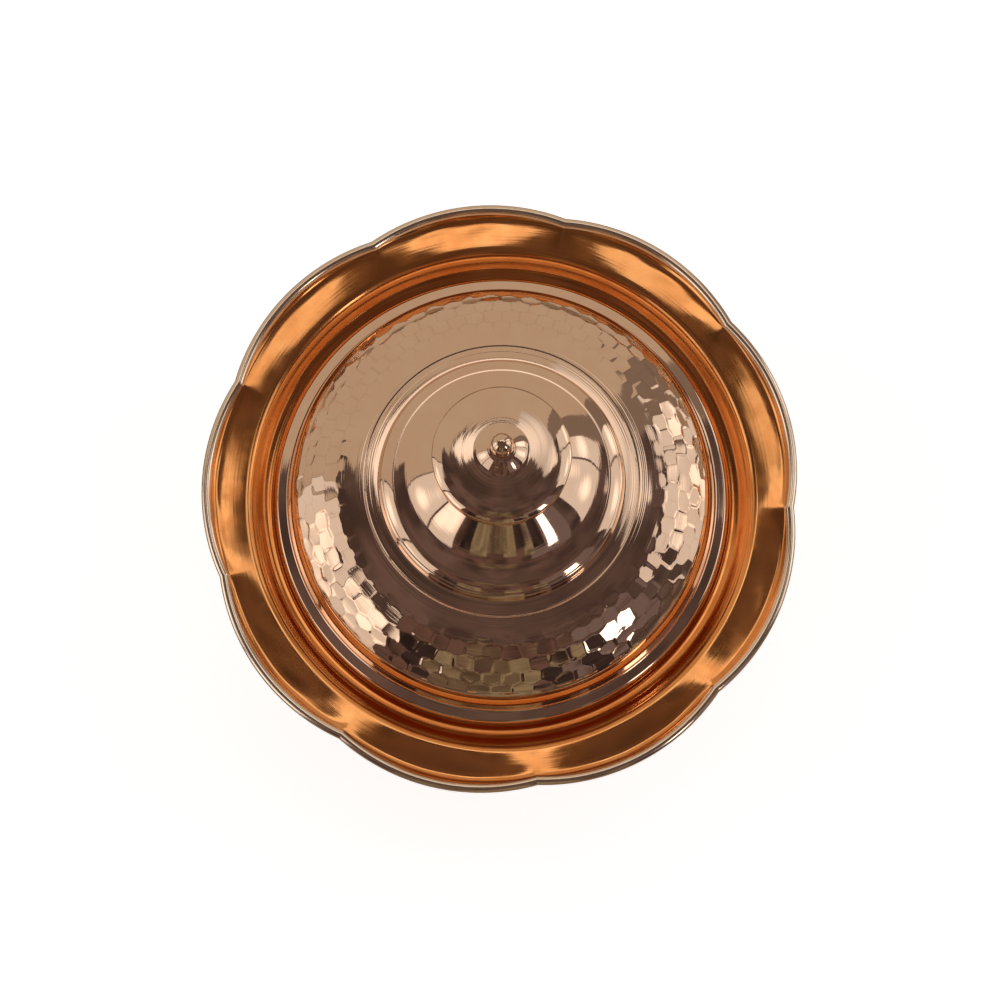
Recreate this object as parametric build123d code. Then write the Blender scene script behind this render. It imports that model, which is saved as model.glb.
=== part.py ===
from build123d import *
import math
import os

# A lidded copper bowl. Millimetres, +Z up, origin on the table under the middle of the foot.
# Every profile is drawn as (radius, height) and turned about Z.

# Bowl: heights above the table, radii from the axis.
RIM_HEIGHT = 78.0
BEAD_RADIUS = 1.65
RIM_WIRE_RADIUS = 1.0
WIRE_PLAY = 0.03
BOWL_SHEET = 1.2

# The rim is nine shallow arcs that meet in notches.
LOBES = 9
LOBE_DIRECTION = 17.0
LOBE_REACH = 101.0
NOTCH_REACH = 98.4

# The flange climbs a bank from the seat, bends over and runs out almost level to the bead.
FLANGE_END = (LOBE_REACH, RIM_HEIGHT + 0.9)
FLANGE_LIP = (87.0, RIM_HEIGHT - 1.9)
FLANGE_BASE = (82.3, RIM_HEIGHT - 7.0)
LIP_SLOPE = (-1.0, -0.2)
BANK_SLOPE = (-1.0, -1.3)
SEAT_RIDGE = (80.0, RIM_HEIGHT - 8.0)
SEAT_OUTER = (78.2, RIM_HEIGHT - 9.2)
SEAT_INNER = (73.4, RIM_HEIGHT - 9.2)
MOUTH_DEPTH = 2.0
BELLY_RADIUS = 80.0
BELLY_HEIGHT = 44.0
FLOOR_RADIUS = 34.0
FLOOR_HEIGHT = 12.0

# Foot.
FOOT_TOP = (40.8, 14.5)
FOOT_WAIST = (39.4, 9.0)
FOOT_BOTTOM_RADIUS = 47.0
FOOT_SHEET = 1.2
FOOT_BEAD_RADIUS = 1.5
FOOT_BEAD_HEIGHT = 1.35
FOOT_WIRE_RADIUS = 0.8
SOLDER_LEG = 2.2

# Lid. The turned-down edge stands on the seat.
LID_SHEET = 1.0
LID_EDGE_RADIUS = 77.5
LID_EDGE_BEND = 1.5
BRIM_EDGE_HEIGHT = RIM_HEIGHT - 4.8
BRIM_INNER = (73.1, RIM_HEIGHT - 4.2)
SHOULDER = (67.4, RIM_HEIGHT + 5.0)
DOME_TOP = (44.2, RIM_HEIGHT + 13.9)
TERRACE_INNER = (39.2, RIM_HEIGHT + 14.2)
STEP_FACE = (38.2, RIM_HEIGHT + 15.2)
STEP_TOP = (34.3, RIM_HEIGHT + 17.4)
NECK_FOOT = (33.6, RIM_HEIGHT + 17.5)
NECK_MIDDLE = (22.0, RIM_HEIGHT + 23.4)
NECK_TOP = (11.0, RIM_HEIGHT + 33.0)

# Knob: a dish and a cap, held by a stud.
STUD_RADIUS = 2.0
STUD_PLAY = 0.05
KNOB_SHEET = 0.9
COLLAR_RADIUS = 9.5
DISH_RADIUS = 18.4
CAP_RADIUS = 20.4
CAP_LIP = 0.9
CAP_EDGE_HEIGHT = RIM_HEIGHT + 38.6
CAP_EDGE_BEND = 1.3
CAP_SHOULDER = (15.1, RIM_HEIGHT + 43.4)
CAP_RING = (9.4, RIM_HEIGHT + 45.6)
BUTTON_RADIUS = 8.2
BUTTON_HEIGHT = RIM_HEIGHT + 45.8
BALL_RADIUS = 3.3
BALL_HEIGHT = RIM_HEIGHT + 48.4
BALL_STEM_RADIUS = 2.9
SOCKET_DEPTH = 2.0
WASHER_RADIUS = 5.5
WASHER_THICKNESS = 0.9
NUT_WIDTH = 7.0
NUT_HEIGHT = 3.2
NUT_CORNER_CUT = 0.5
STUD_TAIL = 1.8
STUD_CHAMFER = 0.5

# How far a cutting tool runs past what it cuts.
OVERRUN = 5.0

FULL_TURN = 360.0


def turned(face):
    """The solid that a (radius, height) face sweeps about Z."""
    return revolve(Plane.XZ * face, Axis.Z, FULL_TURN)


def left_of(tangent):
    """The unit direction to the left of a direction of travel."""
    return Vector(-tangent.Y, tangent.X)


def moved_left(edges, distance):
    """The same run of edges moved sideways, mitred where two of them meet."""
    corners = []
    for i in range(len(edges) + 1):
        before = left_of(edges[max(i - 1, 0)] % (1.0 if i else 0.0))
        after = left_of(edges[i] % 0.0) if i < len(edges) else before
        corner = edges[i] @ 0.0 if i < len(edges) else edges[-1] @ 1.0
        corners.append(corner + (before + after) * (distance / (1.0 + before.dot(after))))
    moved = []
    for edge, start, end in zip(edges, corners, corners[1:]):
        if edge.geom_type == GeomType.LINE:
            moved.append(Line(start, end))
            continue
        between = [edge @ t + left_of(edge % t) * distance for t in (0.25, 0.5, 0.75)]
        moved.append(Spline(start, *between, end, tangents=[edge % 0.0, edge % 1.0]))
    return moved


def closed_face(edges, other_edges):
    """The face between two runs of edges that travel the same way."""
    ends = [
        Line(edges[0] @ 0.0, other_edges[0] @ 0.0),
        Line(edges[-1] @ 1.0, other_edges[-1] @ 1.0),
    ]
    return make_face([*edges, *other_edges, *ends])


def sheet(edges, thickness):
    """A turned sheet whose visible skin follows edges, with its thickness to their left."""
    return turned(closed_face(edges, moved_left(edges, thickness)))


def rod(radius, low, high):
    """An upright cylinder on the axis between two heights."""
    return Pos(0, 0, low) * Cylinder(radius, high - low, align=(Align.CENTER, Align.CENTER, Align.MIN))


def bored(body, height):
    """A body with the stud's clearance hole through its sheet at a height."""
    return body - rod(STUD_RADIUS + STUD_PLAY, height - OVERRUN, height + OVERRUN)


def lobe_circle():
    """Radius of a lobe's arc, and how far its centre lies from the axis."""
    half = math.radians(180.0 / LOBES)
    half_chord = NOTCH_REACH * math.sin(half)
    rise = LOBE_REACH - NOTCH_REACH * math.cos(half)
    radius = (half_chord**2 + rise**2) / (2 * rise)
    return radius, LOBE_REACH - radius


def wedge(low, high):
    """The slice of space that belongs to the lobe along +X."""
    far = 2 * LOBE_REACH
    half = math.radians(180.0 / LOBES)
    side = (far * math.cos(half), far * math.sin(half))
    corners = Polyline((0, 0), side, (side[0], -side[1]), close=True)
    return Pos(0, 0, low) * extrude(make_face(corners), high - low)


def lobed(piece):
    """One lobe's piece, repeated round the rim."""
    turns = [Rot(0, 0, LOBE_DIRECTION + i * FULL_TURN / LOBES) * piece for i in range(LOBES)]
    return turns[0].fuse(*turns[1:]).clean()


def rim_tube(tube_radius):
    """A round tube along the lobed rim."""
    radius, offset = lobe_circle()
    ring = Pos(offset, 0, RIM_HEIGHT) * Torus(radius - BEAD_RADIUS, tube_radius)
    reach = 2 * BEAD_RADIUS
    return lobed(ring & wedge(RIM_HEIGHT - reach, RIM_HEIGHT + reach))


def rim_prism():
    """Everything inside the middle line of the rolled edge."""
    radius, offset = lobe_circle()
    disc = Pos(offset, 0, 0) * Cylinder(radius - BEAD_RADIUS, 4 * RIM_HEIGHT)
    return lobed(disc & wedge(-RIM_HEIGHT, 2 * RIM_HEIGHT))


def belly_edges():
    """The inside of the belly, from the mouth down to the middle of the floor."""
    mouth = (SEAT_INNER[0], SEAT_INNER[1] - MOUTH_DEPTH)
    wall = Spline(
        mouth,
        (BELLY_RADIUS, BELLY_HEIGHT),
        (FLOOR_RADIUS, FLOOR_HEIGHT),
        tangents=[(0.3, -1.0), (-1.0, 0.0)],
    )
    return [Line(SEAT_INNER, mouth), wall, Line((FLOOR_RADIUS, FLOOR_HEIGHT), (0, FLOOR_HEIGHT))]


def bowl_sheet():
    """The flange, the seat and the belly as one turned sheet, still round at the rim."""
    edges = [
        Line(FLANGE_END, FLANGE_LIP),
        Spline(FLANGE_LIP, FLANGE_BASE, tangents=[LIP_SLOPE, BANK_SLOPE]),
        Line(FLANGE_BASE, SEAT_RIDGE),
        Line(SEAT_RIDGE, SEAT_OUTER),
        Line(SEAT_OUTER, SEAT_INNER),
        *belly_edges(),
    ]
    return sheet(edges, BOWL_SHEET)


def bowl_shell():
    """The bowl: the sheet cut to the lobed outline, its edge rolled into a hollow bead."""
    body = (bowl_sheet() & rim_prism()) + rim_tube(BEAD_RADIUS)
    return (body - rim_tube(RIM_WIRE_RADIUS + WIRE_PLAY)).clean()


def belly_block():
    """The belly filled solid, to trim what stands against its underside."""
    skin = moved_left(belly_edges(), BOWL_SHEET)
    top = (0, SEAT_INNER[1])
    lid = Line(skin[0] @ 0.0, top)
    middle = Line(top, skin[-1] @ 1.0)
    return turned(make_face([*skin, lid, middle]))


def foot_edges():
    """The outside of the foot, from its top down to its rolled edge."""
    return [ThreePointArc(FOOT_TOP, FOOT_WAIST, (FOOT_BOTTOM_RADIUS, FOOT_BEAD_HEIGHT))]


def foot_bead(radius):
    """A ring along the foot's rolled edge."""
    return Pos(0, 0, FOOT_BEAD_HEIGHT) * Torus(FOOT_BOTTOM_RADIUS, radius)


def foot_ring():
    """The spun foot. Its rolled edge is dressed flat where it stands on the table."""
    body = sheet(foot_edges(), -FOOT_SHEET) + foot_bead(FOOT_BEAD_RADIUS)
    body -= foot_bead(FOOT_WIRE_RADIUS + WIRE_PLAY)
    body -= rod(2 * FOOT_BOTTOM_RADIUS, -OVERRUN, 0.0)
    return (body - belly_block()).clean()


def foot_solder():
    """The fillet of solder in the corner between the foot and the belly."""
    inside = FOOT_WAIST[0]
    underside = FLOOR_HEIGHT - BOWL_SHEET
    corner = Polyline(
        (inside, underside - SOLDER_LEG),
        (inside, underside + SOLDER_LEG),
        (inside + 2 * SOLDER_LEG, underside + SOLDER_LEG),
        close=True,
    )
    return turned(make_face(corner)) - belly_block() - foot_ring()


def lid_shell():
    """The lid: one sheet from the turned-down edge to the top of the neck, with the stud's hole."""
    bend_start = (LID_EDGE_RADIUS, BRIM_EDGE_HEIGHT - LID_EDGE_BEND)
    bend_end = (LID_EDGE_RADIUS - LID_EDGE_BEND, BRIM_EDGE_HEIGHT)
    edges = [
        Line((LID_EDGE_RADIUS, SEAT_OUTER[1]), bend_start),
        RadiusArc(bend_start, bend_end, -LID_EDGE_BEND),
        Line(bend_end, BRIM_INNER),
        Spline(BRIM_INNER, SHOULDER, tangents=[(-0.35, 1.0), (-1.0, 0.7)]),
        Spline(SHOULDER, DOME_TOP, tangents=[(-1.0, 0.7), (-1.0, 0.12)]),
        Line(DOME_TOP, TERRACE_INNER),
        Line(TERRACE_INNER, STEP_FACE),
        Spline(STEP_FACE, STEP_TOP, tangents=[(-0.5, 1.0), (-1.0, 0.35)]),
        Line(STEP_TOP, NECK_FOOT),
        Spline(NECK_FOOT, NECK_MIDDLE, NECK_TOP, tangents=[(-1.0, 0.2), (-0.2, 1.0)]),
        Line(NECK_TOP, (0, NECK_TOP[1])),
    ]
    return bored(sheet(edges, LID_SHEET), NECK_TOP[1])


def knob_base():
    """The lower half of the knob: a collar on the neck that opens into a dish with a flat edge."""
    foot = (COLLAR_RADIUS, NECK_TOP[1])
    dish = (DISH_RADIUS, CAP_EDGE_HEIGHT - KNOB_SHEET)
    edges = [
        Line((0, NECK_TOP[1]), foot),
        Spline(foot, dish, tangents=[(0.0, 1.0), (1.0, 0.0)]),
        Line(dish, (CAP_RADIUS, CAP_EDGE_HEIGHT - KNOB_SHEET)),
    ]
    return bored(sheet(edges, KNOB_SHEET), NECK_TOP[1])


def knob_cap():
    """The upper half of the knob. Its lip stands on the dish's edge, and its button is flat."""
    lip_foot = (CAP_RADIUS, CAP_EDGE_HEIGHT)
    lip_start = (CAP_RADIUS, CAP_EDGE_HEIGHT + CAP_LIP)
    lip_end = (CAP_RADIUS - CAP_EDGE_BEND, CAP_EDGE_HEIGHT + CAP_LIP + CAP_EDGE_BEND)
    edges = [
        Line(lip_foot, lip_start),
        RadiusArc(lip_start, lip_end, -CAP_EDGE_BEND),
        Spline(lip_end, CAP_SHOULDER, CAP_RING, tangents=[(-1.0, 0.9), (-1.0, 0.1)]),
        Line(CAP_RING, (BUTTON_RADIUS, BUTTON_HEIGHT)),
        Line((BUTTON_RADIUS, BUTTON_HEIGHT), (0, BUTTON_HEIGHT)),
    ]
    return bored(sheet(edges, KNOB_SHEET), BUTTON_HEIGHT)


def knob_ball():
    """The turned ball on its short stem, bored for the stud."""
    body = Pos(0, 0, BALL_HEIGHT) * Sphere(BALL_RADIUS)
    body += rod(BALL_STEM_RADIUS, BUTTON_HEIGHT, BALL_HEIGHT)
    body -= rod(2 * BALL_RADIUS, BUTTON_HEIGHT - OVERRUN, BUTTON_HEIGHT)
    return body - rod(STUD_RADIUS, BUTTON_HEIGHT - OVERRUN, BUTTON_HEIGHT + SOCKET_DEPTH)


def under_neck():
    """Height of the lid's inside face that the washer bears on."""
    return NECK_TOP[1] - LID_SHEET


def knob_stud():
    """The stud from the ball's socket down to below the nut."""
    low = under_neck() - WASHER_THICKNESS - NUT_HEIGHT - STUD_TAIL
    body = rod(STUD_RADIUS, low, BUTTON_HEIGHT + SOCKET_DEPTH)
    return chamfer(body.edges().sort_by(Axis.Z)[0], STUD_CHAMFER)


def knob_washer():
    """The washer against the inside of the neck."""
    high = under_neck()
    low = high - WASHER_THICKNESS
    return bored(rod(WASHER_RADIUS, low, high), low)


def knob_nut():
    """The hexagon nut under the washer."""
    high = under_neck() - WASHER_THICKNESS
    low = high - NUT_HEIGHT
    hexagon = RegularPolygon(NUT_WIDTH / 2, 6, major_radius=False)
    body = Pos(0, 0, low) * extrude(hexagon, NUT_HEIGHT)
    small = NUT_WIDTH / 2 / math.cos(math.radians(30.0)) - NUT_CORNER_CUT
    cone = Cone(small, small + NUT_HEIGHT, NUT_HEIGHT, align=(Align.CENTER, Align.CENTER, Align.MIN))
    return (body & Pos(0, 0, low) * cone) - rod(STUD_RADIUS, low - OVERRUN, high + OVERRUN)


PARTS = {
    "bowl_shell": bowl_shell,
    "rim_wire": lambda: rim_tube(RIM_WIRE_RADIUS),
    "foot_ring": foot_ring,
    "foot_wire": lambda: foot_bead(FOOT_WIRE_RADIUS),
    "foot_solder": foot_solder,
    "lid_shell": lid_shell,
    "knob_base": knob_base,
    "knob_cap": knob_cap,
    "knob_ball": knob_ball,
    "knob_stud": knob_stud,
    "knob_washer": knob_washer,
    "knob_nut": knob_nut,
}

os.makedirs("parts", exist_ok=True)
for name, make in PARTS.items():
    export_step(make(), f"parts/{name}.step")
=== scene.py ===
import math

import bpy
import numpy as np
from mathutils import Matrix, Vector

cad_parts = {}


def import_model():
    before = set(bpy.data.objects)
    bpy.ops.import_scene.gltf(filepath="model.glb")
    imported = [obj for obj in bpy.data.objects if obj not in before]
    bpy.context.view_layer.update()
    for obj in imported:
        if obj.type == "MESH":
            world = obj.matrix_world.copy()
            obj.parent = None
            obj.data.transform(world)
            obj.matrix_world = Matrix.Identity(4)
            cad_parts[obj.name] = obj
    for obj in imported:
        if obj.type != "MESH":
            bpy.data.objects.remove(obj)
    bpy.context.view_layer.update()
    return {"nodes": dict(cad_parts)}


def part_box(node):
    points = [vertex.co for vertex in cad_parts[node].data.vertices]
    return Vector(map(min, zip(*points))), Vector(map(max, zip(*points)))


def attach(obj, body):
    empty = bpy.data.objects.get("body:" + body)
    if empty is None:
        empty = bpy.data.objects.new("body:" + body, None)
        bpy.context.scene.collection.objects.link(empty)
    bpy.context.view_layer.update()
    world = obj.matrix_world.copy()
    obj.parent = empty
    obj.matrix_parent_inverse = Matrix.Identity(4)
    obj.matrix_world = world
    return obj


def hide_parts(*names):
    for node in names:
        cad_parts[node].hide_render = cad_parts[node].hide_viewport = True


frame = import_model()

# The shapes are drawn as (radius, height) profiles in millimetres, with heights above the plane of
# the rim, and turned about Z. The driving sizes come from the frame.
MM = 0.001


def node_low(node):
    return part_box(node)[0]


def node_high(node):
    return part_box(node)[1]


RIM_HEIGHT = (node_low("rim_wire").z + node_high("rim_wire").z) / 2 / MM
LID_EDGE = node_high("lid_shell").x / MM
SEAT = node_low("lid_shell").z / MM - RIM_HEIGHT
NECK_TOP = node_high("lid_shell").z / MM - RIM_HEIGHT
CAP_EDGE = node_high("knob_cap").x / MM
CAP_FOOT = node_low("knob_cap").z / MM - RIM_HEIGHT
BUTTON_TOP = node_low("knob_ball").z / MM - RIM_HEIGHT

BEAD_RADIUS = 1.65
LOBES = 9
LOBE_DIRECTION = 17.0    # degrees from +X to the middle of a lobe
LOBE_REACH = 100.985     # radius at the middle of a lobe
NOTCH_REACH = 98.385     # and at a notch
BOWL_SHEET = 1.2
LID_SHEET = 1.0
KNOB_SHEET = 0.9
STUD_RADIUS = 2.0
STUD_HOLE = STUD_RADIUS + 0.05

# Points in a ring: of a plain turned surface, and of a hammered or lobed one.
COARSE = 360
FINE = 1080


# ---------------------------------------------------------------- curves

def line(start, end, count):
    """Points from start to just before end."""
    t = np.linspace(0, 1, count, endpoint=False)[:, None]
    return np.array(start) * (1 - t) + np.array(end) * t


def curve(start, leave, end, arrive, count):
    """Points on a cubic from start to just before end, with its directions at the two ends."""
    start, end = np.array(start, float), np.array(end, float)
    chord = np.linalg.norm(end - start)
    leave = np.array(leave, float) / np.linalg.norm(leave) * chord
    arrive = np.array(arrive, float) / np.linalg.norm(arrive) * chord
    t = np.linspace(0, 1, count, endpoint=False)[:, None]
    return (
        (2 * t**3 - 3 * t**2 + 1) * start
        + (t**3 - 2 * t**2 + t) * leave
        + (3 * t**2 - 2 * t**3) * end
        + (t**3 - t**2) * arrive
    )


def bend(centre, radius, first, last, count):
    """Points on an arc round centre, angles in degrees."""
    a = np.radians(np.linspace(first, last, count, endpoint=False))
    return np.array(centre) + radius * np.stack([np.cos(a), np.sin(a)], 1)


def slopes(start, angles, radii, step=0.4):
    """A profile from start inwards, given its slope in degrees at each of the radii."""
    r = np.concatenate([np.arange(a, b, -step) for a, b in zip(radii, radii[1:])] + [[radii[-1]]])
    steep = np.tan(np.radians(np.interp(-r, -np.array(radii), angles)))
    rise = np.concatenate([[0], np.cumsum((steep[1:] + steep[:-1]) / 2 * -np.diff(r))])
    return np.stack([r, start + rise], 1)


def inward(profile, thickness):
    """A profile's other face, drawn back from its end to its start: thickness to its left."""
    step = np.gradient(profile, axis=0)
    step /= np.linalg.norm(step, axis=1)[:, None]
    left = np.stack([-step[:, 1], step[:, 0]], 1)
    return (profile + left * thickness)[::-1]


# ---------------------------------------------------------------- turned meshes

def ring(radius, height, count):
    """One ring of points. radius and height may be arrays with one value for each point."""
    a = np.arange(count) * (2 * math.pi / count)
    return np.stack([radius * np.cos(a), radius * np.sin(a), height + 0 * a], 1)


def skin(name, rings, body, node, material):
    """A mesh through a list of rings, which faces up where the rings run inwards.

    Neighbouring rings may differ in their number of points by a whole factor.
    """
    offsets = np.cumsum([0] + [len(r) for r in rings[:-1]])
    points = np.concatenate(rings)
    faces = []
    for a, b, low, high in zip(rings, rings[1:], offsets, offsets[1:]):
        faces += stitch(len(a), len(b), low, high)
    mesh = bpy.data.meshes.new(name)
    mesh.from_pydata((points + [0, 0, RIM_HEIGHT]) * MM, [], faces)
    mesh.polygons.foreach_set("use_smooth", [True] * len(faces))
    mesh.materials.append(material)
    piece = bpy.data.objects.new(name, mesh)
    bpy.context.scene.collection.objects.link(piece)
    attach(piece, body)
    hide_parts(node)
    return piece


def stitch(count_a, count_b, low, high):
    """The faces between two rings that start at vertex low and vertex high."""
    if count_a == count_b:
        i = np.arange(count_a)
        j = (i + 1) % count_a
        return np.stack([low + i, low + j, high + j, high + i], 1).tolist()
    if count_b == 1:
        i = np.arange(count_a)
        return np.stack([low + i, low + (i + 1) % count_a, high + 0 * i], 1).tolist()
    if count_a == 1:
        return [f[::-1] for f in stitch(count_b, 1, high, low)]
    if count_b > count_a:
        return [f[::-1] for f in stitch(count_b, count_a, high, low)]
    ratio = count_a // count_b
    faces = []
    for i in range(count_b):
        fan = [low + (ratio * i + k) % count_a for k in range(ratio + 1)]
        faces.append(fan + [high + (i + 1) % count_b, high + i])
    return faces


def turned(profile, count):
    """The rings of a plain turned profile."""
    return [ring(r, z, count) if r > 0 else np.array([[0, 0, z]]) for r, z in profile]


# ---------------------------------------------------------------- hammer marks

RIDGE_WIDTH = 0.016      # mm of depth over which one mark gives way to the next
REACH_OF_MARK = 9.0      # mm along the profile
MARK_SHIFT = 0.035       # spread of the marks' places in their row, in marks
MARK_SLIDE = 0.14        # spread of their places along the profile, in mm
MARK_SINK = 0.008        # spread of their depths, in mm
STAGGER = 0.5            # every other row is turned by this part of a mark


def hammer(radius, along, rows, per_row, roundness, seed, count, tilt):
    """Depth of hammer marks at points of a turned surface, and how near each is to a ridge.

    radius is the ring's radius and along its distance along the profile; rows are the marks'
    middle distances along the profile. Each mark is a shallow dish, a little deeper or shallower
    than its neighbours and leaning its own way (tilt is the spread in degrees), and two marks meet
    in a narrow ridge. roundness is the dish's curvature across and along, in 1/mm.
    """
    draw = np.random.default_rng(seed)
    shift = draw.normal(0, MARK_SHIFT, (len(rows), per_row))
    slide = draw.normal(0, MARK_SLIDE, (len(rows), per_row))
    sink = draw.normal(0, MARK_SINK, (len(rows), per_row))
    lean = np.tan(np.radians(draw.normal(0, tilt, (len(rows), per_row, 2))))
    angle = np.arange(count) * (per_row / count)
    width = 2 * math.pi * radius / per_row
    dishes, levels = [], []
    for i, row in enumerate(rows):
        if abs(row - along) > REACH_OF_MARK:
            continue
        place = angle - STAGGER * (i % 2)
        near = np.floor(place).astype(int)
        for k in (-1, 0, 1, 2):
            j = (near + k) % per_row
            across = (place - near - k - shift[i, j]) * width
            up = along - row - slide[i, j]
            dish = across**2 * roundness[0] + up**2 * roundness[1]
            dishes.append(dish)
            levels.append(dish + sink[i, j] + across * lean[i, j, 0] + up * lean[i, j, 1])
    if not dishes:
        return np.zeros(count), np.zeros(count)
    dishes, levels = np.array(dishes), np.array(levels)
    order = np.sort(dishes, axis=0)
    share = np.exp(-(dishes - order[0]) / RIDGE_WIDTH)
    push = (share * levels).sum(axis=0) / share.sum(axis=0)
    return push, np.exp(-(order[1] - order[0]) / RIDGE_WIDTH)


def hammered(profile, rows, per_row, roundness, fade, seed, tilt, count=FINE):
    """The rings of a turned profile with hammer marks pressed into it, and the ridges at their
    points. fade(along) is the marks' strength."""
    step = np.gradient(profile, axis=0)
    step /= np.linalg.norm(step, axis=1)[:, None]
    out = np.stack([step[:, 1], -step[:, 0]], 1)
    along = np.concatenate([[0], np.cumsum(np.linalg.norm(np.diff(profile, axis=0), axis=1))])
    rings, ridges = [], []
    for (r, z), (nr, nz), s in zip(profile, out, along):
        push, ridge = hammer(r, s, rows, per_row, roundness, seed, count, tilt)
        push = push * fade(s)
        rings.append(ring(r + nr * push, z + nz * push, count))
        ridges.append(ridge * fade(s))
    return rings, ridges


def mark_ridges(piece, first, ridges):
    """Stores the ridges of a hammered surface, whose points start at index first."""
    values = np.zeros(len(piece.data.vertices), dtype=np.float32)
    flat = np.concatenate(ridges)
    values[first:first + len(flat)] = flat
    piece.data.attributes.new("ridge", "FLOAT", "POINT").data.foreach_set("value", values)


# ---------------------------------------------------------------- materials

class Nodes:
    """A small helper that adds nodes to a material and joins them."""

    def __init__(self, tree):
        self.tree = tree

    def add(self, kind, inputs=None, **settings):
        node = self.tree.nodes.new(kind)
        for key, value in settings.items():
            setattr(node, key, value)
        for key, value in (inputs or {}).items():
            if isinstance(value, bpy.types.NodeSocket):
                self.tree.links.new(value, node.inputs[key])
            else:
                node.inputs[key].default_value = value
        return node

    def math(self, operation, a, b):
        return self.add("ShaderNodeMath", {0: a, 1: b}, operation=operation).outputs[0]

    def noise(self, place, scale, detail, **inputs):
        inputs = {"Vector": place, "Scale": scale, "Detail": detail, **inputs}
        return self.add("ShaderNodeTexNoise", inputs).outputs["Fac"]

    def between(self, value, low, high, first, last, **settings):
        """first to last as value goes from low to high."""
        inputs = {"Value": value, 1: low, 2: high, 3: first, 4: last}
        return self.add("ShaderNodeMapRange", inputs, **settings).outputs[0]

    def blend(self, share, first, last):
        """A colour, first to last as share goes from 0 to 1."""
        inputs = {0: share, 6: first, 7: last}
        return self.add("ShaderNodeMix", inputs, data_type="RGBA").outputs[2]

    def ramp(self, value, stops):
        node = self.add("ShaderNodeValToRGB", {"Fac": value})
        node.color_ramp.elements[0].position, node.color_ramp.elements[0].color = stops[0]
        node.color_ramp.elements[1].position, node.color_ramp.elements[1].color = stops[-1]
        for place, colour in stops[1:-1]:
            node.color_ramp.elements.new(place).color = colour
        return node.outputs["Color"]


RIDGE_TARNISH = 0.28
RIDGE_TONE = (0.42, 0.22, 0.13, 1)

# Noise scales, per metre, and the heights of the bumps they make, in metres.
CLOUD_SCALE = 34.0
SMEAR_SCALE = 150.0
LATHE_SCALE = 1500.0
LATHE_HEIGHT = 0.00004
SCRATCH_SCALE = 1000.0
SCRATCH_HEIGHT = 0.00002

# The values of a noise between which a tone, the wear and a patch's brightness change.
TONE_SPREAD = (0.38, 0.62)
WEAR_SPREAD = (0.35, 0.7)
PATCH_SPREAD = (0.38, 0.62)
PATCH_LEVELS = (0.62, 1.42)


def metal(name, tone, deep, polish, worn, lathe, scratch=0.02):
    """Polished metal: tone drifts to deep in faint clouds, roughness runs from polish to worn,
    and fine turning lines of strength lathe ring the axis."""
    material = bpy.data.materials.new(name)
    material.use_nodes = True
    nodes = Nodes(material.node_tree)
    link = material.node_tree.links.new
    shader = material.node_tree.nodes["Principled BSDF"]
    shader.inputs["Metallic"].default_value = 1.0
    place = nodes.add("ShaderNodeTexCoord").outputs["Object"]
    split = nodes.add("ShaderNodeSeparateXYZ", {0: place}).outputs
    flat = nodes.add("ShaderNodeCombineXYZ", {"X": split["X"], "Y": split["Y"]}).outputs[0]
    radius = nodes.add("ShaderNodeVectorMath", {0: flat}, operation="LENGTH").outputs["Value"]
    swept = nodes.add("ShaderNodeCombineXYZ", {"X": radius, "Y": split["Z"]}).outputs[0]

    cloud = nodes.noise(place, CLOUD_SCALE, 4.0)
    smear = nodes.noise(place, SMEAR_SCALE, 6.0)
    both = nodes.math("MULTIPLY", nodes.math("ADD", cloud, smear), 0.5)
    colour = nodes.ramp(both, [(TONE_SPREAD[0], (*tone, 1)), (TONE_SPREAD[1], (*deep, 1))])
    ridge = nodes.add("ShaderNodeAttribute", attribute_name="ridge").outputs["Fac"]
    tarnish = nodes.math("MULTIPLY", ridge, RIDGE_TARNISH)
    link(nodes.blend(tarnish, colour, RIDGE_TONE), shader.inputs["Base Color"])
    link(nodes.between(smear, *WEAR_SPREAD, polish, worn), shader.inputs["Roughness"])

    lines = nodes.noise(swept, LATHE_SCALE, 3.0)
    turning = nodes.add("ShaderNodeBump", {
        "Height": lines, "Strength": lathe, "Distance": LATHE_HEIGHT,
    })
    fine = nodes.noise(place, SCRATCH_SCALE, 4.0, Roughness=0.7)
    bump = nodes.add("ShaderNodeBump", {
        "Height": fine, "Strength": scratch, "Distance": SCRATCH_HEIGHT,
        "Normal": turning.outputs[0],
    })
    link(bump.outputs[0], shader.inputs["Normal"])
    return material


def emitter(name):
    """An empty material that only gives light, with its nodes and its emission node."""
    material = bpy.data.materials.new(name)
    material.use_nodes = True
    tree = material.node_tree
    tree.nodes.clear()
    nodes = Nodes(tree)
    light = nodes.add("ShaderNodeEmission")
    out = nodes.add("ShaderNodeOutputMaterial")
    tree.links.new(light.outputs[0], out.inputs["Surface"])
    return material, nodes, light


def patchy(nodes, colour, place, scale):
    """A colour, or a colour socket, with soft lighter and darker patches."""
    level = nodes.between(nodes.noise(place, scale, 3.0), *PATCH_SPREAD, *PATCH_LEVELS)
    inputs = {0: colour, "Scale": level}
    return nodes.add("ShaderNodeVectorMath", inputs, operation="SCALE").outputs[0]


def glow(name, colour, strength=1.0, patches=0.0):
    """An emitter of one colour, or one with soft patches of the given noise scale."""
    material, nodes, light = emitter(name)
    light.inputs["Color"].default_value = (*colour, 1)
    light.inputs["Strength"].default_value = strength
    if patches:
        place = nodes.add("ShaderNodeTexCoord").outputs["Object"]
        patched = patchy(nodes, colour, place, patches)
        material.node_tree.links.new(patched, light.inputs["Color"])
    return material


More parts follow.
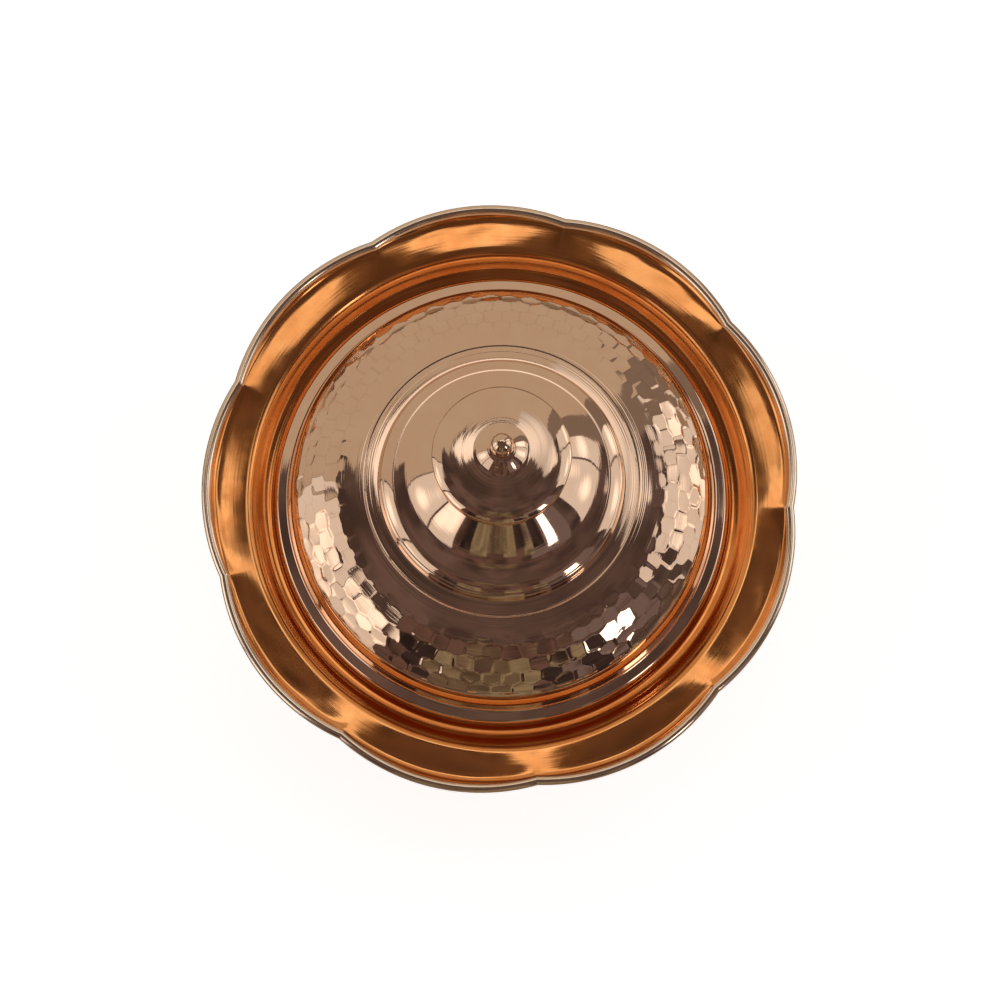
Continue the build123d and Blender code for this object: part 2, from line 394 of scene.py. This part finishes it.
COPPER = (0.90, 0.65, 0.47)
COPPER_DEEP = (0.87, 0.60, 0.42)
# The flange's redder copper is painted light: the same metal as the lid, coloured to stand in for
# light bouncing inside the concave flange.
COPPER_RED_PAINTED_BOUNCE = (0.96, 0.43, 0.145)
COPPER_RED_PAINTED_BOUNCE_DEEP = (0.92, 0.36, 0.107)
# The seat's still redder copper is painted light bouncing in the narrow crease between the lid and
# the bowl.
COPPER_SEAT_PAINTED_BOUNCE = (0.95, 0.37, 0.11)
COPPER_SEAT_PAINTED_BOUNCE_DEEP = (0.90, 0.29, 0.07)
# The rolled edge's paler copper is a painted reflection: the same metal as the lid, made paler as
# if it mirrored bright white surroundings.
COPPER_PALE_PAINTED_REFLECTION = (0.97, 0.80, 0.62)
COPPER_PALE_PAINTED_REFLECTION_DEEP = (0.95, 0.72, 0.52)
TIN = (0.78, 0.77, 0.74)
TIN_DEEP = (0.70, 0.68, 0.64)
STEEL = (0.62, 0.61, 0.60)
STEEL_DEEP = (0.48, 0.47, 0.46)

lid_copper = metal("lid_copper", COPPER, COPPER_DEEP, 0.035, 0.075, 0.5)
# Painted bounced light: the flange's redder copper stands in for light inter-reflected in its
# concave face.
bowl_copper = metal("bowl_copper", COPPER_RED_PAINTED_BOUNCE, COPPER_RED_PAINTED_BOUNCE_DEEP, 0.09, 0.17, 0.4)
# Painted bounced light: the seat's redder copper stands in for light inter-reflected in the
# crease.
seat_copper_painted_bounce = metal("seat_copper_painted_bounce", COPPER_SEAT_PAINTED_BOUNCE, COPPER_SEAT_PAINTED_BOUNCE_DEEP, 0.09, 0.17, 0.5)
# Painted reflection: the rolled edge's paler copper stands in for the bright surroundings it
# mirrors.
bead_copper_painted_reflection = metal("bead_copper_painted_reflection", COPPER_PALE_PAINTED_REFLECTION, COPPER_PALE_PAINTED_REFLECTION_DEEP, 0.10, 0.18, 0.1)
belly_copper = metal("belly_copper", COPPER, COPPER_DEEP, 0.08, 0.16, 0.1)
knob_copper = metal("knob_copper", COPPER, COPPER_DEEP, 0.03, 0.07, 0.5)
tin = metal("tin_lining", TIN, TIN_DEEP, 0.28, 0.42, 0.5, scratch=0.2)
steel = metal("plain_steel", STEEL, STEEL_DEEP, 0.25, 0.4, 0.3)
solder = metal("solder", TIN, TIN_DEEP, 0.35, 0.5, 0.0, scratch=0.4)


# ---------------------------------------------------------------- the lid

BRIM = SEAT + 4.4        # height of the flat brim
BRIM_BEND = 1.5
WALL_FOOT = (73.1, BRIM + 0.6)
SHOULDER = (67.4, 5.0)
DOME_EDGE = 47.0         # radius where the hammering ends
DOME_END = 44.2          # and where the dome ends at the groove
TERRACE_EDGE = 43.3
TURNED_STEP = 0.12       # spacing of points where the lathe has left ripples

# Rows of marks, as distances along the profile from the shoulder, and marks in a row.
LID_MARK_ROWS = [1.6, 4.9, 9.6, 15.0, 18.9]
LID_MARKS = 60
LID_MARK_ROUNDNESS = (0.0075, 0.0180)


def lid_dome():
    """The hammered part of the dome, from its shoulder inwards."""
    return slopes(SHOULDER[1], [40, 36, 30.5, 21, 13, 10],
                  [SHOULDER[0], 64.0, 59.5, 55.0, 50.0, DOME_EDGE])


def ripple(profile, height, pitch, radii):
    """A profile with fine turned ridges between two radii."""
    inner, outer = radii
    r = profile[:, 0]
    strength = np.clip(np.minimum(r - inner, outer - r) / pitch, 0, 1)
    wave = np.sin(2 * math.pi * r / pitch) + 0.6 * np.sin(2 * math.pi * r / (pitch * 1.83) + 1.0)
    return np.stack([r, profile[:, 1] + height * strength * wave], 1)


def lid_profiles():
    """The lid's brim and wall, the edge of its dome, and its crown of terrace, step and neck."""
    dome = lid_dome()
    fillet_start = (WALL_FOOT[0] + 0.7, WALL_FOOT[1] - 0.25)
    fillet_end = (WALL_FOOT[0] - 0.35, WALL_FOOT[1] + 0.55)
    before = np.concatenate([
        [(LID_EDGE, SEAT), (LID_EDGE, SEAT + 1.5), (LID_EDGE, BRIM - BRIM_BEND)],
        bend((LID_EDGE - BRIM_BEND, BRIM - BRIM_BEND), BRIM_BEND, 0, 90, 8),
        line((LID_EDGE - BRIM_BEND, BRIM), fillet_start, 5),
        curve(fillet_start, (-1, 0.05), fillet_end, (-0.35, 1), 6),
        curve(fillet_end, (-0.35, 1), SHOULDER, (-1, 0.84), 16),
    ])
    edge = slopes(dome[-1][1], [10, 9, 8], [dome[-1][0], 45.2, DOME_END], TURNED_STEP)
    edge = ripple(edge, 0.010, 0.62, (DOME_END, DOME_EDGE))
    low = edge[-1][1]
    groove = np.array([(43.9, low - 0.25), (43.6, low - 0.28), (TERRACE_EDGE, low + 0.05)])
    terrace = slopes(groove[-1][1], [1.5, 6.5, 4.5, 3.0, 2.0, -4],
                     [TERRACE_EDGE, 42.6, 41.0, 40.0, 39.6, 39.2], TURNED_STEP)
    terrace = ripple(terrace, 0.008, 0.7, (41.0, TERRACE_EDGE))
    face = slopes(terrace[-1][1], [30, 66, 60, 42, 34, 27, 18],
                  [39.2, 39.0, 38.5, 38.2, 37.4, 36.0, 34.3])
    low = face[-1][1]
    crease = np.array([(34.0, low - 0.12), (33.7, low - 0.02)])
    neck = slopes(crease[-1][1], [14, 21, 29, 36, 42, 44, 43, 41, 41],
                  [33.7, 30.2, 28.4, 26.6, 24.0, 21.0, 18.0, 14.0, 11.2])
    neck = raised_to(neck, NECK_TOP)
    hole = np.array([(STUD_HOLE, NECK_TOP)])
    after = np.concatenate([edge, groove, terrace[1:], face[1:], crease, neck[1:], hole])
    return before, dome, after


def raised_to(profile, top):
    """A profile with its heights stretched to end at top."""
    foot, head = profile[0, 1], profile[-1, 1]
    height = foot + (profile[:, 1] - foot) * (top - foot) / (head - foot)
    return np.stack([profile[:, 0], height], 1)


def lid_mark_fade(along):
    """Strength of the lid's hammer marks, which die away before the terrace."""
    return np.interp(along, [0.0, 17.5, 20.5], [1.0, 1.0, 0.0])


def lid():
    """The lid's skins: brim, wall and hammered dome; turned crown; tinned inside."""
    before, dome, after = lid_profiles()
    marks, ridges = hammered(dome, LID_MARK_ROWS, LID_MARKS, LID_MARK_ROUNDNESS, lid_mark_fade,
                             seed=4, tilt=1.5)
    outer = skin("lid_dome", turned(before, COARSE) + marks, "lid", "lid_shell", lid_copper)
    mark_ridges(outer, len(before) * COARSE, ridges)
    crown = [marks[-1]] + turned(after[1:], COARSE)
    skin("lid_crown", crown, "lid", "lid_shell", lid_copper)
    under = inward(np.concatenate([before[::2], dome[::8], after[::3], after[-1:]]), LID_SHEET)
    under[0, 0] = STUD_HOLE
    under[-1] = (LID_EDGE - LID_SHEET, SEAT)
    skin("lid_lining", turned(under, COARSE) + turned(before[:1], COARSE), "lid", "lid_shell", tin)


lid()


# ---------------------------------------------------------------- the bowl

def rim_reach(angle):
    """Radius of the lobed outline at angles in radians, and the place within its lobe, -1 to 1."""
    half = math.pi / LOBES
    turn = (angle - math.radians(LOBE_DIRECTION) + half) % (2 * half) - half
    half_chord = NOTCH_REACH * math.sin(half)
    rise = LOBE_REACH - NOTCH_REACH * math.cos(half)
    arc = (half_chord**2 + rise**2) / (2 * rise)
    centre = LOBE_REACH - arc
    reach = centre * np.cos(turn) + np.sqrt(arc**2 - (centre * np.sin(turn)) ** 2)
    return reach, turn / half


ANGLES = np.arange(FINE) * (2 * math.pi / FINE)
REACH, LOBE_PLACE = rim_reach(ANGLES)
FLANGE_BASE = (82.3, -7.0)
FLANGE_LIP = (87.0, -1.9)
FLANGE_EDGE = 0.27       # height of the flange where it meets the bead
BANK_STEPS = 40
BANK_SHARE = 0.3         # the bank's part of the flange's rings, the lip has the rest
# Inside this radius the seat gets its painted bounced-light copper.
SEAT_EDGE = 83.5
CUP_DEPTH = 1.15         # depth of a lobe's dish
CREASE_DEPTH = 0.2       # depth lost in the crease between two lobes
CREASE_WIDTH = 0.10      # as a part of half a lobe, like the softness
CREASE_SOFTNESS = 0.16
DISH_SCALE = 1.1
WAVE_HEIGHT = 0.012      # spread of the heights of the slight waves


def petal(share):
    """How far a lobe is dished at a share of the way from the lip's bend to the bead."""
    soft = CREASE_SOFTNESS * (1.1 - share)
    valley = np.sqrt((1 - np.abs(LOBE_PLACE)) ** 2 + soft**2) - soft
    crease = 1 - np.exp(-(valley / CREASE_WIDTH))
    cup = valley * (2 - valley)
    lobe = CREASE_DEPTH * crease * share**2 + CUP_DEPTH * cup * share**1.1
    return (lobe + uneven(share)) * DISH_SCALE * (1 - share**12)


def uneven(share):
    """The slight waves left in the flange by spinning and beading it."""
    draw = np.random.default_rng(7)
    waves = 0
    for turns in range(10, 40, 3):
        start, slant = draw.uniform(0, 2 * math.pi), draw.uniform(2, 7)
        height = WAVE_HEIGHT * draw.normal()
        waves = waves + height * np.sin(turns * ANGLES + start + slant * share)
    return waves * share


def flange_ring(share, drop):
    """A ring of the flange from its base (share 0) to the bead (share 1), drop below its face."""
    if share < BANK_SHARE:
        bank = curve(FLANGE_BASE, (1, 1.3), FLANGE_LIP, (1, 0.14), BANK_STEPS)
        radius, height = bank[int(BANK_STEPS * share / BANK_SHARE)]
        return ring(radius, height - drop, FINE)
    out = (share - BANK_SHARE) / (1 - BANK_SHARE)
    radius = FLANGE_LIP[0] + (REACH - 2 * BEAD_RADIUS - FLANGE_LIP[0]) * out
    height = FLANGE_LIP[1] + (FLANGE_EDGE - FLANGE_LIP[1]) * out
    return ring(radius, height - petal(out) - drop, FINE)


def bead_rings(first, last, count):
    """Rings round the rolled edge between two angles in degrees, 0 pointing outwards."""
    middle = REACH - BEAD_RADIUS
    rings = []
    for a in np.radians(np.linspace(first, last, count)):
        rings.append(ring(middle + BEAD_RADIUS * math.cos(a), BEAD_RADIUS * math.sin(a), FINE))
    return rings


MOUTH_RADIUS = 73.4
MOUTH_BEND = 0.6
SEAT_RIDGE = (80.0, -8.0)
SEAT_OUTER = (78.2, SEAT)


def seat_profile():
    """From the flange's base over the ridge to the seat and the mouth."""
    inner = MOUTH_RADIUS + MOUTH_BEND
    return np.concatenate([
        curve(FLANGE_BASE, (-1, -0.5), SEAT_RIDGE, (-1, -0.1), 6),
        curve(SEAT_RIDGE, (-1, -0.3), SEAT_OUTER, (-1, -0.5), 6),
        line(SEAT_OUTER, (inner, SEAT), 4),
        bend((inner, SEAT - MOUTH_BEND), MOUTH_BEND, 90, 180, 5),
    ])


# Rows of marks, as distances along the profile from the middle of the floor, and marks in a row.
BELLY_MARK_ROWS = [43.0 + 6.2 * i for i in range(12)]
BELLY_MARKS = 72
BELLY_MARK_ROUNDNESS = (0.0045, 0.0100)
BELLY_POINTS = 720


def belly_mark_fade(along):
    """Strength of the belly's hammer marks: none inside the foot or at the mouth. along starts at
    the middle of the floor."""
    return np.interp(along, [38.0, 44.0, 104.0, 110.0], [0.0, 1.0, 1.0, 0.0])


def belly_profile():
    """The inside of the belly from the mouth to the middle of the floor."""
    mouth = (MOUTH_RADIUS, SEAT - 2.0)
    wide = (80.1, 41.6 - RIM_HEIGHT)
    corner = (72.6, 24.0 - RIM_HEIGHT)
    low = (51.3, 13.6 - RIM_HEIGHT)
    floor = (34.0, 12.0 - RIM_HEIGHT)
    return np.concatenate([
        line((MOUTH_RADIUS, SEAT - MOUTH_BEND), mouth, 2),
        curve(mouth, (0.3, -1), wide, (0, -1), 32),
        curve(wide, (0, -1), corner, (-1, -1), 28),
        curve(corner, (-1, -1), low, (-1, -0.21), 32),
        curve(low, (-1, -0.21), floor, (-1, 0), 14),
        line(floor, (2.0, floor[1]), 8),
    ])


def rim_rings():
    """The flange and its rolled edge, from underneath out, round, and in over the seat."""
    foot = (FLANGE_BASE[0] + 0.7, FLANGE_BASE[1] - BOWL_SHEET)
    neck = (MOUTH_RADIUS + BOWL_SHEET, SEAT - 2.4)
    seat_under = (77.0, SEAT - BOWL_SHEET)
    collar = np.concatenate([
        [(neck[0], SEAT - 2.6), neck],
        curve(neck, (0, 1), seat_under, (1, 0.1), 6)[1:],
        curve(seat_under, (1, 0.1), foot, (1, 0.6), 8),
    ])
    under = [flange_ring(s, BOWL_SHEET) for s in np.linspace(0, 1, 20)[1:-1]]
    face = [flange_ring(s, 0.0) for s in np.linspace(1, 0, 36)[:-1]]
    bead = bead_rings(-145, 169, 24)
    return turned(collar, COARSE) + under + bead + face + turned(seat_profile(), COARSE)


def paint_rim(rim):
    """Gives the rolled edge its paler copper, a painted reflection of bright surroundings, and the
    seat its redder copper, painted light bouncing in the crease.
    """
    rim.data.materials.append(bead_copper_painted_reflection)
    rim.data.materials.append(seat_copper_painted_bounce)
    for face in rim.data.polygons:
        x, y, z = face.center / MM
        radius = math.hypot(x, y)
        reach, _ = rim_reach(np.array(math.atan2(y, x)))
        if radius > reach - 2 * BEAD_RADIUS - 0.1 and z > RIM_HEIGHT - BEAD_RADIUS:
            face.material_index = 1
        elif radius < SEAT_EDGE:
            face.material_index = 2


def bowl():
    """The bowl's skins: rim and flange; tinned inside; hammered outside of the belly."""
    # The flange gets the redder copper of painted bounced light.
    rim = skin("bowl_rim", rim_rings(), "bowl", "bowl_shell", bowl_copper)
    paint_rim(rim)
    inside = belly_profile()
    floor_top = np.array([[0, 0, inside[-1][1]]])
    skin("bowl_lining", turned(inside, COARSE) + [floor_top], "bowl", "bowl_shell", tin)
    outside = inward(inside, BOWL_SHEET)
    marks, ridges = hammered(outside, BELLY_MARK_ROWS, BELLY_MARKS, BELLY_MARK_ROUNDNESS,
                             belly_mark_fade, seed=9, tilt=1.3, count=BELLY_POINTS)
    floor_under = np.array([[0, 0, outside[0][1]]])
    belly = skin("bowl_belly", [floor_under] + marks, "bowl", "bowl_shell", belly_copper)
    mark_ridges(belly, 1, ridges)


bowl()


# ---------------------------------------------------------------- the knob

BUTTON_RISE = 2.6
BUTTON_FOOT = 8.2
CAP_LIP = 0.9
CAP_BEND = 1.3


def knob_cap_profile():
    """The cap: a lip, a domed shoulder, a soft ring and the button under the ball."""
    lip = CAP_FOOT + CAP_LIP
    rise = slopes(lip + CAP_BEND, [48, 40, 20, 14, 15, 11, 10],
                  [CAP_EDGE - 0.9, 17.6, 14.6, 12.6, 11.2, 9.6, BUTTON_FOOT])
    rise = raised_to(rise, BUTTON_TOP - BUTTON_RISE)
    return np.concatenate([
        [(CAP_EDGE, CAP_FOOT), (CAP_EDGE, lip)],
        bend((CAP_EDGE - CAP_BEND, lip), CAP_BEND, 0, 50, 6),
        rise[1:],
        slopes(rise[-1][1], [10, 18, 30, 33, 28, 12, 3],
               [BUTTON_FOOT, 7.6, 6.8, 5.4, 4.0, 3.0, STUD_HOLE], 0.2)[1:],
    ])


def knob():
    """The cap's skin. The knob's other pieces are the frame's own."""
    cap = knob_cap_profile()
    under = inward(cap[::2], KNOB_SHEET)
    under[0, 0] = STUD_HOLE
    under[-1] = (CAP_EDGE - KNOB_SHEET, CAP_FOOT)
    rings = turned(np.concatenate([cap, under, cap[:1]]), COARSE)
    skin("knob_cap_shell", rings, "lid", "knob_cap", knob_copper)


knob()


# ---------------------------------------------------------------- pieces shown as they are

for node, material in {
    "knob_base": knob_copper, "knob_ball": knob_copper, "foot_ring": belly_copper,
    "knob_stud": steel, "knob_washer": steel, "knob_nut": steel, "rim_wire": steel,
    "foot_wire": steel, "foot_solder": solder,
}.items():
    mesh = frame["nodes"][node].data
    mesh.materials.clear()
    mesh.materials.append(material)


# ---------------------------------------------------------------- the stage

# Panels stand on a sphere round the part, in metres. Azimuths are in degrees from +X, zeniths in
# degrees from straight up.
STAGE_RADIUS = 2.6
PANEL_STEPS = 12
CEILING_PATCHES = 2.2
WALL_PATCHES = 4.0
ROOM_PATCHES = 4.0

WARM = (0.98, 0.93, 0.90)
DAYLIGHT = (1, 0.98, 0.96)
TAN = (0.50, 0.42, 0.34)
BROWN = (0.22, 0.175, 0.15)
MAUVE = (0.17, 0.135, 0.14)
DUSK = (0.095, 0.060, 0.052)
OLIVE = (0.20, 0.17, 0.115)
MOSS = (0.125, 0.095, 0.065)
UMBER = (0.035, 0.025, 0.025)

# A softbox's brightness far from its lamps and in front of them, and how far a lamp's spot is
# full and reaches, in metres.
SOFTBOX_FAR = 0.78
SOFTBOX_NEAR = 1.5
SPOT_FULL = 0.06
SPOT_REACH = 0.55


def toward(azimuth, zenith, distance):
    a, z = math.radians(azimuth), math.radians(zenith)
    return Vector((math.cos(a) * math.sin(z), math.sin(a) * math.sin(z), math.cos(z))) * distance


def screen(name, azimuths, zeniths, material, distance=STAGE_RADIUS):
    """A curved panel between two azimuths and two zeniths, unseen by the camera."""
    row = PANEL_STEPS + 1
    points = [toward(azimuth, zenith, distance)
              for zenith in np.linspace(*zeniths, row) for azimuth in np.linspace(*azimuths, row)]
    faces = [(k, k + 1, k + row + 1, k + row)
             for j in range(PANEL_STEPS) for k in range(j * row, j * row + PANEL_STEPS)]
    mesh = bpy.data.meshes.new(name)
    mesh.from_pydata(points, [], faces)
    mesh.materials.append(material)
    made = bpy.data.objects.new(name, mesh)
    made.visible_camera = False
    made.visible_shadow = False
    bpy.context.scene.collection.objects.link(made)


def panel(name, azimuths, zeniths, colour, distance=STAGE_RADIUS, strength=1.0, patches=0.0):
    """A screen of one colour."""
    screen(name, azimuths, zeniths, glow(name, colour, strength, patches), distance)


def softbox(name, azimuths, zeniths, lamps, distance=STAGE_RADIUS, power=1.0):
    """A screen with brighter spots in front of its lamps."""
    material, nodes, light = emitter(name)
    place = nodes.add("ShaderNodeTexCoord").outputs["Object"]
    spots = 0.0
    for azimuth, zenith in lamps:
        ends = {0: place, 1: toward(azimuth, zenith, distance)}
        away = nodes.add("ShaderNodeVectorMath", ends, operation="DISTANCE").outputs["Value"]
        spot = nodes.between(away, SPOT_FULL, SPOT_REACH, 1.0, 0.0,
                             interpolation_type="SMOOTHERSTEP")
        spots = nodes.math("MAXIMUM", spots, spot)
    strength = nodes.between(spots, 0.0, 1.0, SOFTBOX_FAR * power, SOFTBOX_NEAR * power)
    light.inputs["Color"].default_value = (*WARM, 1)
    material.node_tree.links.new(strength, light.inputs["Strength"])
    screen(name, azimuths, zeniths, material, distance)


softbox("softbox_left_back", (165, 196), (43, 92), [(180, 62), (187, 80)])
softbox("softbox_left_front", (198, 223), (43, 92), [(205, 64), (214, 66)])
softbox("softbox_right_back", (28, 42), (42, 92), [(35, 70)])
softbox("softbox_right_front", (-10, 26.5), (42, 92), [(8, 62), (16, 84)])
softbox("overhead", (22, 78), (18.5, 34), [(30, 29), (66, 24)], STAGE_RADIUS - 0.05, 0.7)
softbox("overhead_left", (78, 136), (18.5, 27.5), [(92, 23), (124, 22)], STAGE_RADIUS - 0.05, 0.8)
panel("window", (-45, -36), (47, 68), DAYLIGHT, STAGE_RADIUS - 0.1, strength=3.0)
panel("backdrop", (55, 148), (29, 95), TAN)
panel("backdrop_left", (148, 164), (43, 95), TAN)
panel("corner", (42, 55), (34, 92), BROWN)
panel("curtain", (-62, -22), (38, 76), MAUVE, STAGE_RADIUS + 0.1)
panel("near_ceiling", (222, 318), (31, 95), DUSK, STAGE_RADIUS + 0.2,
      patches=CEILING_PATCHES)
near_wall = [
    ((230, 240), (50, 78), UMBER), ((240, 256), (46, 64), OLIVE), ((244, 262), (64, 92), MOSS),
    ((256, 272), (52, 70), MOSS), ((262, 284), (70, 92), OLIVE), ((272, 284), (48, 70), OLIVE),
    ((284, 294), (56, 76), UMBER), ((286, 300), (76, 92), MOSS), ((292, 301), (46, 60), OLIVE),
    ((301, 312), (52, 92), UMBER), ((246, 286), (26, 34), MOSS),
]
for number, (azimuths, zeniths, colour) in enumerate(near_wall):
    panel("near_wall_%d" % number, azimuths, zeniths, colour, patches=WALL_PATCHES)


FLOOR_REACH = 3.0
FLOOR_TONE = 0.9
FLOOR_GLOW = 0.75


def floor():
    """A pale table top, which the metal doesn't mirror."""
    mesh = bpy.data.meshes.new("floor")
    square = [(-1, -1), (1, -1), (1, 1), (-1, 1)]
    corners = [(x * FLOOR_REACH, y * FLOOR_REACH, 0) for x, y in square]
    mesh.from_pydata(corners, [], [(0, 1, 2, 3)])
    material = bpy.data.materials.new("floor")
    material.use_nodes = True
    shader = material.node_tree.nodes["Principled BSDF"]
    shader.inputs["Base Color"].default_value = (FLOOR_TONE, FLOOR_TONE, FLOOR_TONE, 1)
    shader.inputs["Roughness"].default_value = 0.9
    shader.inputs["Emission Color"].default_value = (1, 1, 1, 1)
    shader.inputs["Emission Strength"].default_value = FLOOR_GLOW
    mesh.materials.append(material)
    table = bpy.data.objects.new("floor", mesh)
    table.visible_glossy = False
    bpy.context.scene.collection.objects.link(table)


floor()

# The room's colours from straight down (0) past eye level (0.5) to straight up (1).
ROOM_TONES = [
    (0.0, (0.20, 0.15, 0.11, 1)), (0.46, (0.24, 0.18, 0.13, 1)), (0.52, (0.11, 0.085, 0.075, 1)),
    (0.8, (0.08, 0.058, 0.057, 1)), (0.93, (0.10, 0.070, 0.066, 1)),
    (1.0, (0.10, 0.070, 0.063, 1)),
]
WHITE = (1, 1, 1, 1)


def world():
    """A dim room with a tan floor for the metal to mirror, and white for the camera."""
    made = bpy.data.worlds.new("room")
    made.use_nodes = True
    bpy.context.scene.world = made
    tree = made.node_tree
    tree.nodes.clear()
    nodes = Nodes(tree)
    direction = nodes.add("ShaderNodeTexCoord").outputs["Generated"]
    up = nodes.add("ShaderNodeSeparateXYZ", {0: direction}).outputs["Z"]
    height = nodes.math("MULTIPLY", nodes.math("ADD", up, 1.0), 0.5)
    room = patchy(nodes, nodes.ramp(height, ROOM_TONES), direction, ROOM_PATCHES)
    seen = nodes.add("ShaderNodeLightPath").outputs["Is Camera Ray"]
    colour = nodes.blend(seen, room, WHITE)
    back = nodes.add("ShaderNodeBackground", {"Color": colour, "Strength": 1.0})
    out = nodes.add("ShaderNodeOutputWorld")
    tree.links.new(back.outputs[0], out.inputs["Surface"])


world()

CAMERA_LENS = 30.45
CAMERA_SENSOR = 36.0
CAMERA_SHIFT = 0.17
CAMERA_TILT = 4.0        # degrees from looking straight down
CAMERA_PLACE = (-0.0005, -0.0793)
CAMERA_ABOVE_RIM = 0.280


def camera():
    """Above the bowl and a little to its near side, looking almost straight down."""
    data = bpy.data.cameras.new("camera")
    data.lens = CAMERA_LENS
    data.sensor_width = CAMERA_SENSOR
    data.shift_y = CAMERA_SHIFT
    data.clip_start = 0.01
    made = bpy.data.objects.new("camera", data)
    made.location = (*CAMERA_PLACE, CAMERA_ABOVE_RIM + RIM_HEIGHT * MM)
    made.rotation_euler = (math.radians(CAMERA_TILT), 0, 0)
    bpy.context.scene.collection.objects.link(made)
    bpy.context.scene.camera = made


camera()
bpy.context.scene.view_settings.view_transform = "Standard"
